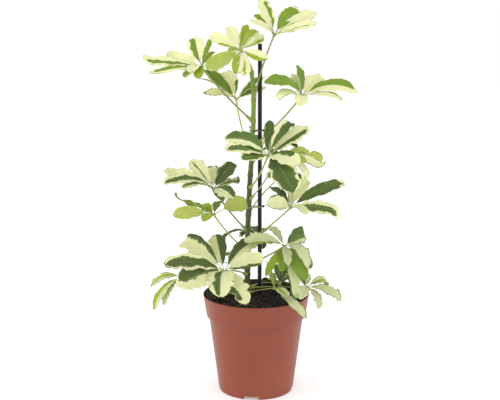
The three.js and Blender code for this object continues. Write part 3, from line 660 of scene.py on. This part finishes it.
def makeLeaf(name, entry, leafIndex, templates, skins):
    look = leafLook
    node, hub, face, bow, tone, creamShade, leaflets, fits = entry
    hub = np.array(hub, dtype=float)
    blades = []
    stalks = [makeLeafStalk(templates["stalk"], node, hub, bow, len(leaflets)),
              makeHub(templates["hub"], hub)]
    for number, leafletEntry in enumerate(leaflets):
        index = leafIndex * 16 + number + 1
        leaflet = Leaflet(hub, unit(face), leafletEntry, ownFit(fits, "curl", number, 0),
                          ownFit(fits, "pinch", number, (0, 0.5)))
        bare, slim = ownFit(fits, "blade", number, (look["bareShare"], 1))
        letter = leafletEntry[5]
        *green, toneShift, torn = greenAreas[letter[0]]
        if letter.endswith("-"):
            green[0] *= -1
        green = ownFit(fits, "green", number, green)
        torn *= ownFit(fits, "torn", number, 1 - 0.75 * ease(tone, 0.45, 0.6))
        shade = tone + toneShift + ownFit(fits, "tone", number, 0)
        shade = min(look["toneMost"], shade + look["toneSpread"] * (spread(index + 0.3) - 0.5))
        blade = copyOf(templates["blade"], "leaflet")
        shapeBlade(blade, leaflet, index, green, torn, (shade, creamShade, spread(index + 0.5)), bare, slim)
        storeSame(blade, "darkRim", ownFit(fits, "rim", number, 0))
        blades.append(blade)
        stalks.append(makePetiolule(templates["petiolule"], leaflet, bare))
    sheet = joinAll(blades, name + "_blades")
    sheetCount = len(sheet.data.vertices)
    addModifier(sheet, "thickness", "SOLIDIFY", thickness=look["thickness"] * mm, offset=0)
    applyModifiers(sheet)
    storeValues(sheet, "underside", np.arange(len(sheet.data.vertices)) >= sheetCount)
    sheet.data.materials.append(skins["leaf"])
    stalk = joinAll(stalks, name + "_stalks")
    storeSame(stalk, "stalkTone", fits.get("stalk", look["stalkTone"]))
    stalk.data.materials.append(skins["stalk"])
    return joinAll([sheet, stalk], name + "_look")


def makeLeaves():
    look = leafLook
    templates = {
        "hub": addMesh(bpy.ops.mesh.primitive_ico_sphere_add, subdivisions=2, radius=1),
        "blade": addMesh(bpy.ops.mesh.primitive_grid_add, x_subdivisions=look["rows"],
                         y_subdivisions=look["columns"], size=2),
        "stalk": makeRod("stalk_template", look["stalkSides"], look["stalkRings"]),
        "petiolule": makeRod("petiolule_template", look["petioluleSides"], look["petioluleRings"]),
    }
    skins = {"leaf": makeLeafSkin(), "stalk": makeStalkSkin()}
    for index, (name, entry) in enumerate(leaves.items()):
        leaf = makeLeaf(name, entry, index, templates, skins)
        finishPiece(leaf, 50, None, name)
    for template in templates.values():
        bpy.data.objects.remove(template)


# Stem, stake and ties

def makeStem():
    look = stemLook
    bottom, top = look["path"][0][1], look["path"][-1][1]
    rod = makeRod("stem_rod", look["sides"], look["rings"])
    heights = np.linspace(bottom, top + 1, look["rings"] + 1)
    centres = np.column_stack([stemCentre(heights), 0 * heights, heights])
    above = heights - np.array([[entry[0] - look["nodeDrop"]] for entry in leaves.values()])
    swelling = np.exp(-(above / look["swellingLength"]) ** 2).sum(axis=0)
    scars = np.exp(-((above + look["scarDrop"]) / look["scarLength"]) ** 2).sum(axis=0)
    wander = noiseAt([(0, 0, height / 9) for height in heights])
    radii = (stemRadius(heights) + look["swelling"] * np.minimum(swelling, 1.2)
             - look["scarDepth"] * np.minimum(scars, 1) + look["wander"] * wander)
    radii[-look["tipRings"]:] *= np.sqrt(np.linspace(0.96, 0.05, look["tipRings"]))
    shapeRod(rod, centres, radii, np.array([1.0, 0, 0]))
    places = points(rod) / mm
    height = places[:, 2]
    out = places - np.column_stack([stemCentre(height), 0 * height, height])
    angle = np.arctan2(out[:, 1], out[:, 0])
    ridge = look["ridge"] * np.cos(look["ridges"] * angle + height / 14)
    movePoints(rod, places + unit(out + 1e-9) * ridge[:, None])
    storeValues(rod, "scar", np.interp(height, heights, np.minimum(scars + 0.35 * swelling, 1)))
    finishPiece(joinAll([rod, makeBud()], "stem_look"), 50, makeStemSkin(), "stem")


def makeBud():
    look = stemLook
    bud = makeRod("side_bud", 10, look["budRings"])
    share = np.linspace(0, 1, look["budRings"] + 1)
    foot = np.array([look["budPlace"][0], 0, look["budPlace"][1]])
    radii = look["budRadius"] * np.sqrt(np.maximum(1.02 - share, 0)) * (0.75 + 0.5 * share)
    shapeRod(bud, foot + np.outer(share, look["budReach"]), radii, np.array([1.0, 0, 0]))
    storeSame(bud, "scar", 0.15)
    return bud


def makeStemSkin():
    look = stemLook
    shader = Shader("stem_skin")
    place = shader.place()
    x, y, z = shader.split(place)
    streaks = shader.grain(shader.join(x, y, z * 0.035), 700, 3, 0.6)
    blotch = shader.grain(place, 45, 3)
    scar = shader.attribute("scar", "Fac")
    young = shader.fade(z + blotch * 0.04, 0.26, 0.335)
    colour = shader.mix(look["lowColour"], look["topColour"], young)
    colour = shader.mix(colour, look["streak"], shader.fade(streaks, 0.5, 0.75) * 0.5)
    colour = shader.mix(colour, look["scar"], shader.fade(scar + blotch * 0.3, 0.45, 1.1) * 0.8)
    return shader.finish(colour, 0.45 + blotch * 0.15, streaks + blotch * 0.5, 0.0003, 0.5, **{
        "Subsurface Weight": 0.08, "Subsurface Scale": 0.001})


stakeLook = {
    "x": 4, "y": 3, "radius": 2.3, "bottom": 2.2, "top": 392, "sides": 28, "wobble": 0.12,
    "colour": (10, 14, 15), "worn": (30, 38, 39),
}


def makeStake():
    look = stakeLook
    radius, bottom, top = look["radius"], look["bottom"], look["top"]
    profile = [(radius - 0.4, bottom), (radius, bottom + 0.4)]
    profile += [(radius, height) for height in range(10, top - 2, 10)]
    profile += [(radius, top - 0.5), (radius - 0.2, top - 0.12), (radius - 0.5, top)]
    stake = spinUp("stake_look", profile, look["sides"])
    places = points(stake) / mm
    height = places[:, 2]
    wobble = [noiseAt(np.column_stack([height / 40, height * 0 + seed, height * 0])) for seed in (1, 9)]
    wobble = look["wobble"] * np.column_stack([*wobble, height * 0])
    movePoints(stake, places + wobble + (look["x"], look["y"], 0))
    finishPiece(stake, 40, makeStakePlastic(), "stake")


def makeStakePlastic():
    look = stakeLook
    shader = Shader("stake_plastic")
    place = shader.place()
    x, y, z = shader.split(place)
    drawn = shader.grain(shader.join(x, y, z * 0.02), 1200, 2)
    dust = shader.grain(place, 90, 4, 0.65)
    worn = shader.fade(drawn * 0.5 + dust * 0.5, 0.45, 0.62)
    colour = shader.mix(look["colour"], look["worn"], worn)
    return shader.finish(colour, 0.32 + dust * 0.2, drawn, 0.0002, 0.4, **{"Specular IOR Level": 0.3})


tieLook = {
    "heights": {"tie_lower": 211.5, "tie_upper": 297}, "wall": 0.7, "band": 1.1, "knot": 1.5, "gap": 0.3,
    "colours": {"tie_lower": (132, 138, 118), "tie_upper": (84, 92, 62)}, "dirtAndShade": (60, 58, 48),
    "turnSteps": 18, "stemSlack": 0.5, "edge": 0.25,
}


def tieOutline(height, clearance):
    # Round the stem on its far side, straight to the stake, round that and back
    stemX = stemCentre(height)
    near = stemRadius(height) + tieLook["stemSlack"] + clearance
    far = stakeLook["radius"] + clearance
    heading = math.atan2(stakeLook["y"], stakeLook["x"] - stemX)
    lean = math.acos((near - far) / math.hypot(stakeLook["x"] - stemX, stakeLook["y"]))
    turns = np.linspace(0, 1, tieLook["turnSteps"] + 1)
    first = heading + lean + (2 * math.pi - 2 * lean) * turns
    second = heading - lean + 2 * lean * turns
    return np.concatenate([
        np.column_stack([stemX + near * np.cos(first), near * np.sin(first)]),
        np.column_stack([stakeLook["x"] + far * np.cos(second), stakeLook["y"] + far * np.sin(second)])])


def makeTie(name):
    look = tieLook
    height = look["heights"][name]
    outline = tieOutline(height, look["gap"] + look["wall"] / 2)
    count = len(outline)
    band = addMesh(bpy.ops.mesh.primitive_cylinder_add, vertices=count, radius=1, depth=1,
                   end_fill_type="NOTHING")
    places = points(band)
    angle = np.mod(np.arctan2(places[:, 1], places[:, 0]), 2 * math.pi)
    which = np.rint(angle / (2 * math.pi) * count).astype(int) % count
    movePoints(band, np.column_stack([outline[which], height + places[:, 2] * look["band"]]))
    band.data.materials.clear()
    facesOut(band)
    addModifier(band, "wall", "SOLIDIFY", thickness=look["wall"] * mm, offset=0)
    addModifier(band, "edges", "BEVEL", width=look["edge"] * mm, segments=2, limit_method="ANGLE",
                angle_limit=math.radians(50))
    applyModifiers(band)
    knot = addMesh(bpy.ops.mesh.primitive_ico_sphere_add, subdivisions=3, radius=look["knot"] * mm)
    places = points(knot) / mm
    lumps = 1 + 0.18 * noiseAt(places * 0.9 + (height, 0, 0))
    knotPlace = (stakeLook["x"] + stakeLook["radius"] + look["gap"] + look["knot"], stakeLook["y"],
                 height + look["band"] / 3)
    movePoints(knot, places * lumps[:, None] + knotPlace)
    finishPiece(joinAll([band, knot], name + "_look"), 40, makeStrap(name), name)


def makeStrap(name):
    look = tieLook
    shader = Shader(name + "_strap")
    place = shader.place()
    wear = shader.grain(place, 500, 3)
    dark = shader.fade(shader.split(place)[0], 0.0062, 0.0068)  # the knot end is dirtier
    colour = shader.mix(look["colours"][name], look["dirtAndShade"], dark * 0.8 + wear * 0.2)
    return shader.finish(colour, 0.35 + wear * 0.2, wear, 0.0002, 0.4)


# Pot

potLook = {
    "sides": 128,
    "outer": [(40.4, 0), (41.6, 0.35), (42.3, 1.5), (42.9, 6), (52.2, 78), (53.1, 84.8), (53.3, 86.1),
              (53.9, 86.9), (55.2, 87.3), (55.9, 87.6), (56.25, 88.3), (56.5, 90), (59.5, 109.6),
              (59.9, 111), (59.9, 111.6), (59.6, 112), (59.1, 112)],
    "cavity": [(40.3, 1.8), (40.9, 2.2), (42, 10), (51.6, 85), (52.1, 87.2), (54.2, 88.4), (54.9, 89.6),
               (58.3, 110), (58.6, 111.6), (58.9, 112.1), (59, 114)],
    "channels": 4, "firstAngle": -98, "channelWidth": 17, "channelHeight": 4, "channelStart": 25,
    "roof": 1.4, "drainRadius": 3.5, "drainPlace": 30.5, "reach": 35, "edge": 0.25,
    "colour": (134, 63, 41), "paler": (149, 78, 54), "deeper": (118, 54, 36), "stepShade": (96, 44, 30),
    "dust": (196, 150, 132), "dirtAndShade": (48, 36, 30),
}


def addBox(name, low, high, turn):
    made = addMesh(bpy.ops.mesh.primitive_cube_add, size=1)
    made.name = name
    movePoints(made, turned(low + (points(made) + 0.5) * (np.array(high) - low), turn))
    return made


def cutAway(target, tools):
    for tool in tools:
        addModifier(target, "cut", "BOOLEAN", operation="DIFFERENCE", object=tool, solver="EXACT")
    applyModifiers(target)
    for tool in tools:
        bpy.data.objects.remove(tool)


def makePot():
    look = potLook
    pot = spinUp("pot_look", look["outer"], look["sides"])
    cavity = spinUp("cavity", look["cavity"], look["sides"])
    roofs = []
    channels = []
    half, tall, roof = look["channelWidth"] / 2, look["channelHeight"], look["roof"]
    start, end = look["channelStart"], look["channelStart"] + look["reach"]
    for number in range(look["channels"]):
        turn = math.radians(look["firstAngle"] + 360 / look["channels"] * number)
        roofs.append(addBox("roof", (start - roof, -half - roof, -5), (end, half + roof, tall + roof), turn))
        channels.append(addBox("channel", (start, -half, -5), (end, half, tall), turn))
        drain = look["drainPlace"] * mm
        channels.append(addMesh(
            bpy.ops.mesh.primitive_cylinder_add, vertices=32, radius=look["drainRadius"] * mm, depth=0.03,
            location=(drain * math.cos(turn), drain * math.sin(turn), 0)))
        bpy.ops.object.transform_apply(location=True, rotation=True, scale=True)
    cutAway(cavity, roofs)
    cutAway(pot, [cavity] + channels)
    facesOut(pot)
    addModifier(pot, "edges", "BEVEL", width=look["edge"] * mm, segments=2, limit_method="ANGLE",
                angle_limit=math.radians(55))
    applyModifiers(pot)
    finishPiece(pot, 35, makePotPlastic(), "pot")


def makePotPlastic():
    look = potLook
    shader = Shader("pot_plastic")
    mix, fade, grain = shader.mix, shader.fade, shader.grain
    place = shader.place()
    x, y, z = shader.split(place)
    clouds = grain(place, 14, 3, 0.5)
    flow = grain(shader.join(x, y, z * 0.25), 160, 3, 0.6)
    fine = grain(place, 1500, 2, 0.5)
    colour = mix(look["colour"], look["paler"], fade(clouds, 0.4, 0.75) * 0.5)
    colour = mix(colour, look["deeper"], fade(flow, 0.5, 0.8) * 0.3)
    # Painted shade: a darker line under the step where the rim band begins
    stepShade = fade(z, 0.0862, 0.0868) * (1 - fade(z, 0.0874, 0.0882))  # where the rim band begins
    colour = mix(colour, look["stepShade"], stepShade * (0.3 + clouds * 0.3))
    colour = mix(colour, look["dust"], fade(grain(place, 420, 3, 0.7), 0.6, 0.75) * 0.06)
    # Painted shade: the inside of the rim band is darkened above the soil, from halfway through its wall
    across = shader.sum("SQRT", x * x + y * y)
    middle = 0.0418 + z * 0.153
    inner = fade(middle - across, 0, 0.0003) * fade(z, 0.1, 0.104)
    dirtAndShade = inner * fade(0.1118 - z + (flow - 0.5) * 0.002, 0, 0.001)
    colour = mix(colour, look["dirtAndShade"], dirtAndShade * 0.85)
    roughness = 0.32 + clouds * 0.1 + fine * 0.06
    return shader.finish(colour, roughness, fine * 0.5 + flow * 0.5, 0.0001, 0.35, **{
        "Specular IOR Level": 0.38, "Subsurface Weight": 0.05, "Subsurface Scale": 0.001})


# Soil

soilLook = {
    "level": 108, "topRadius": 57, "walls": [(40, 6.2), (51, 86), (54, 91), (56, 102), (57, 107)],
    "sides": 128, "rings": 46, "bumps": 1.1, "bankHeight": 2, "seed": 7,
    "heapHeight": 7, "heapX": -52, "heapWidth": 15, "heapDepth": 30,
    "darkest": (10, 9, 8), "brown": (46, 37, 29), "pale": (142, 110, 80),
    "crumbs": 1100, "crumbShapes": 9, "crumbSize": (0.5, 1.5), "fibres": 420, "fibreLength": (2, 8),
    "fibreBend": 1.4, "fibreRise": (0.3, 1.5), "fibreRadii": (0.12, 0.28, 0.1), "fibreRings": 5,
}


def soilHeight(x, y):
    look = soilLook
    fromHeap = (x - look["heapX"]) / look["heapWidth"]
    heap = look["heapHeight"] * np.exp(-fromHeap ** 2 - (y / look["heapDepth"]) ** 2)
    bumps = np.sin(x / 6.1 + 1) * np.cos(y / 7.3) + np.sin((x + y) / 4.7)
    grains = 1.5 * noise.noise((x / 4.2, y / 4.2, 3)) + 0.9 * noise.noise((x / 1.7, y / 1.7, 8))
    bank = look["bankHeight"] * ease(y, 5, 50)
    return float(look["level"] + heap + bank + look["bumps"] * bumps) + grains


def makeSoil():
    look = soilLook
    random = np.random.default_rng(look["seed"])
    top = look["topRadius"]
    surface = [(top * (1 - ring / look["rings"]) + 0.2, look["level"]) for ring in range(1, look["rings"])]
    soil = spinUp("soil_bed", look["walls"] + surface, look["sides"])
    places = points(soil) / mm
    upper = places[:, 2] > look["level"] - 1.5
    places[upper, 2] = [soilHeight(x, y) for x, y, _ in places[upper]]
    movePoints(soil, places)
    storeSame(soil, "grainTone", 0.25)
    soil = joinAll([soil] + makeCrumbs(random) + makeFibres(random), "soil_look")
    finishPiece(soil, 60, makeSoilSkin(), "soil")


def soilSpots(random, count, edge):
    angle = random.uniform(0, 2 * math.pi, count)
    radius = edge * np.sqrt(random.uniform(0, 1, count))
    return radius * np.cos(angle), radius * np.sin(angle)


def makeCrumbs(random):
    look = soilLook
    template = addMesh(bpy.ops.mesh.primitive_ico_sphere_add, subdivisions=2, radius=1)
    ball = points(template)
    shapes = []
    for number in range(look["crumbShapes"]):
        lumps = 1 + 0.45 * noiseAt(ball * 1.4 + (number * 7, 0, 0))
        shapes.append(ball * lumps[:, None] * random.uniform(0.6, 1.15, 3))
    crumbs = []
    smallest, more = look["crumbSize"]
    for number, (x, y) in enumerate(zip(*soilSpots(random, look["crumbs"], look["topRadius"] - 2.5))):
        size = smallest + more * random.uniform() ** 2.2
        crumb = copyOf(template, "crumb")
        shape = turned(shapes[number % len(shapes)] * size, random.uniform(0, 2 * math.pi))
        movePoints(crumb, shape + (x, y, soilHeight(x, y) + 0.25 * size))
        storeSame(crumb, "grainTone", random.uniform() ** 2)
        crumbs.append(crumb)
    bpy.data.objects.remove(template)
    return crumbs


def makeFibres(random):
    look = soilLook
    template = makeRod("fibre_template", 4, look["fibreRings"])
    share = np.linspace(0, 1, look["fibreRings"] + 1)
    radii = np.interp(share, [0, 0.5, 1], look["fibreRadii"])
    fibres = []
    for x, y in zip(*soilSpots(random, look["fibres"], look["topRadius"] - 5)):
        length = random.uniform(*look["fibreLength"])
        heading = random.uniform(0, 2 * math.pi)
        forward = np.array([math.cos(heading), math.sin(heading), 0])
        across = np.array([-forward[1], forward[0], 0])
        bend = random.uniform(-look["fibreBend"], look["fibreBend"])
        rise = random.uniform(*look["fibreRise"])
        centres = (np.array([x, y, 0]) + np.outer(length * (share - 0.5), forward)
                   + np.outer(bend * np.sin(3 * share), across))
        centres[:, 2] = [soilHeight(a, b) + 0.5 for a, b, _ in centres]
        centres[:, 2] += rise * np.sin(math.pi * share)
        fibre = copyOf(template, "fibre")
        shapeRod(fibre, centres, radii, across)
        storeSame(fibre, "grainTone", random.uniform(0.6, 1.3))
        fibres.append(fibre)
    bpy.data.objects.remove(template)
    return fibres


def makeSoilSkin():
    look = soilLook
    shader = Shader("soil_skin")
    place = shader.place()
    tone = shader.attribute("grainTone", "Fac")
    grit = shader.grain(place, 700, 4, 0.7)
    damp = shader.grain(place, 55, 3)
    value = tone + (grit - 0.5) * 0.9
    colour = shader.mix(look["darkest"], look["brown"], shader.fade(value, 0, 0.75))
    colour = shader.mix(colour, look["pale"], shader.fade(value, 0.75, 1.5))
    roughness = 0.95 - shader.fade(damp, 0.45, 0.7) * 0.3
    return shader.finish(colour, roughness, grit + damp * 0.5, 0.001, 0.8)


# Floor, light and camera

studioLook = {
    "floorSize": 80, "floorColour": (0.9, 0.9, 0.9, 1), "floorGlow": 0.3, "worldStrength": 0.8,
    "cameraPlace": (-0.0069, -1.2, 0.463), "cameraPitch": 11.47, "lens": 79.2, "aim": (0, 0, 0.2),
    # name: place, size, watts
    "lights": {
        "left": ((-1.5, -0.15, 0.55), 1.3, 11),
        "right": ((1.6, -0.1, 0.7), 1.2, 7),
        "top": ((-0.2, -0.9, 2.0), 1.6, 4),
        "front": ((0.2, -2.2, 0.9), 1.6, 8),
    },
}


def makeStudio():
    look = studioLook
    floor = addMesh(bpy.ops.mesh.primitive_plane_add, size=look["floorSize"])
    floor.name = "studio_floor"
    floor.data.materials.append(Shader("floor_paint").finish(look["floorColour"], 0.9, **{
        "Emission Color": (1, 1, 1, 1), "Emission Strength": look["floorGlow"]}))
    for name, (place, size, watts) in look["lights"].items():
        light = bpy.data.lights.new(name, "AREA")
        light.energy = watts
        light.size = size
        lamp = bpy.data.objects.new(name, light)
        lamp.location = place
        lamp.rotation_euler = (Vector(look["aim"]) - Vector(place)).to_track_quat("-Z", "Y").to_euler()
        bpy.context.collection.objects.link(lamp)
    world = bpy.data.worlds.new("studio_air")
    world.use_nodes = True
    air = world.node_tree.nodes["Background"].inputs
    air["Color"].default_value = (1, 1, 1, 1)
    air["Strength"].default_value = look["worldStrength"]
    bpy.context.scene.world = world
    camera = bpy.data.cameras.new("camera")
    camera.lens = look["lens"]
    camera.clip_end = 200
    holder = bpy.data.objects.new("camera", camera)
    holder.location = look["cameraPlace"]
    holder.rotation_euler = (math.radians(90 - look["cameraPitch"]), 0, 0)
    bpy.context.collection.objects.link(holder)
    bpy.context.scene.camera = holder
    bpy.context.scene.view_settings.view_transform = "Standard"
    print("studio done")


makeStudio()
makePot()
makeSoil()
makeStake()
for tieName in tieLook["heights"]:
    makeTie(tieName)
makeStem()
makeLeaves()
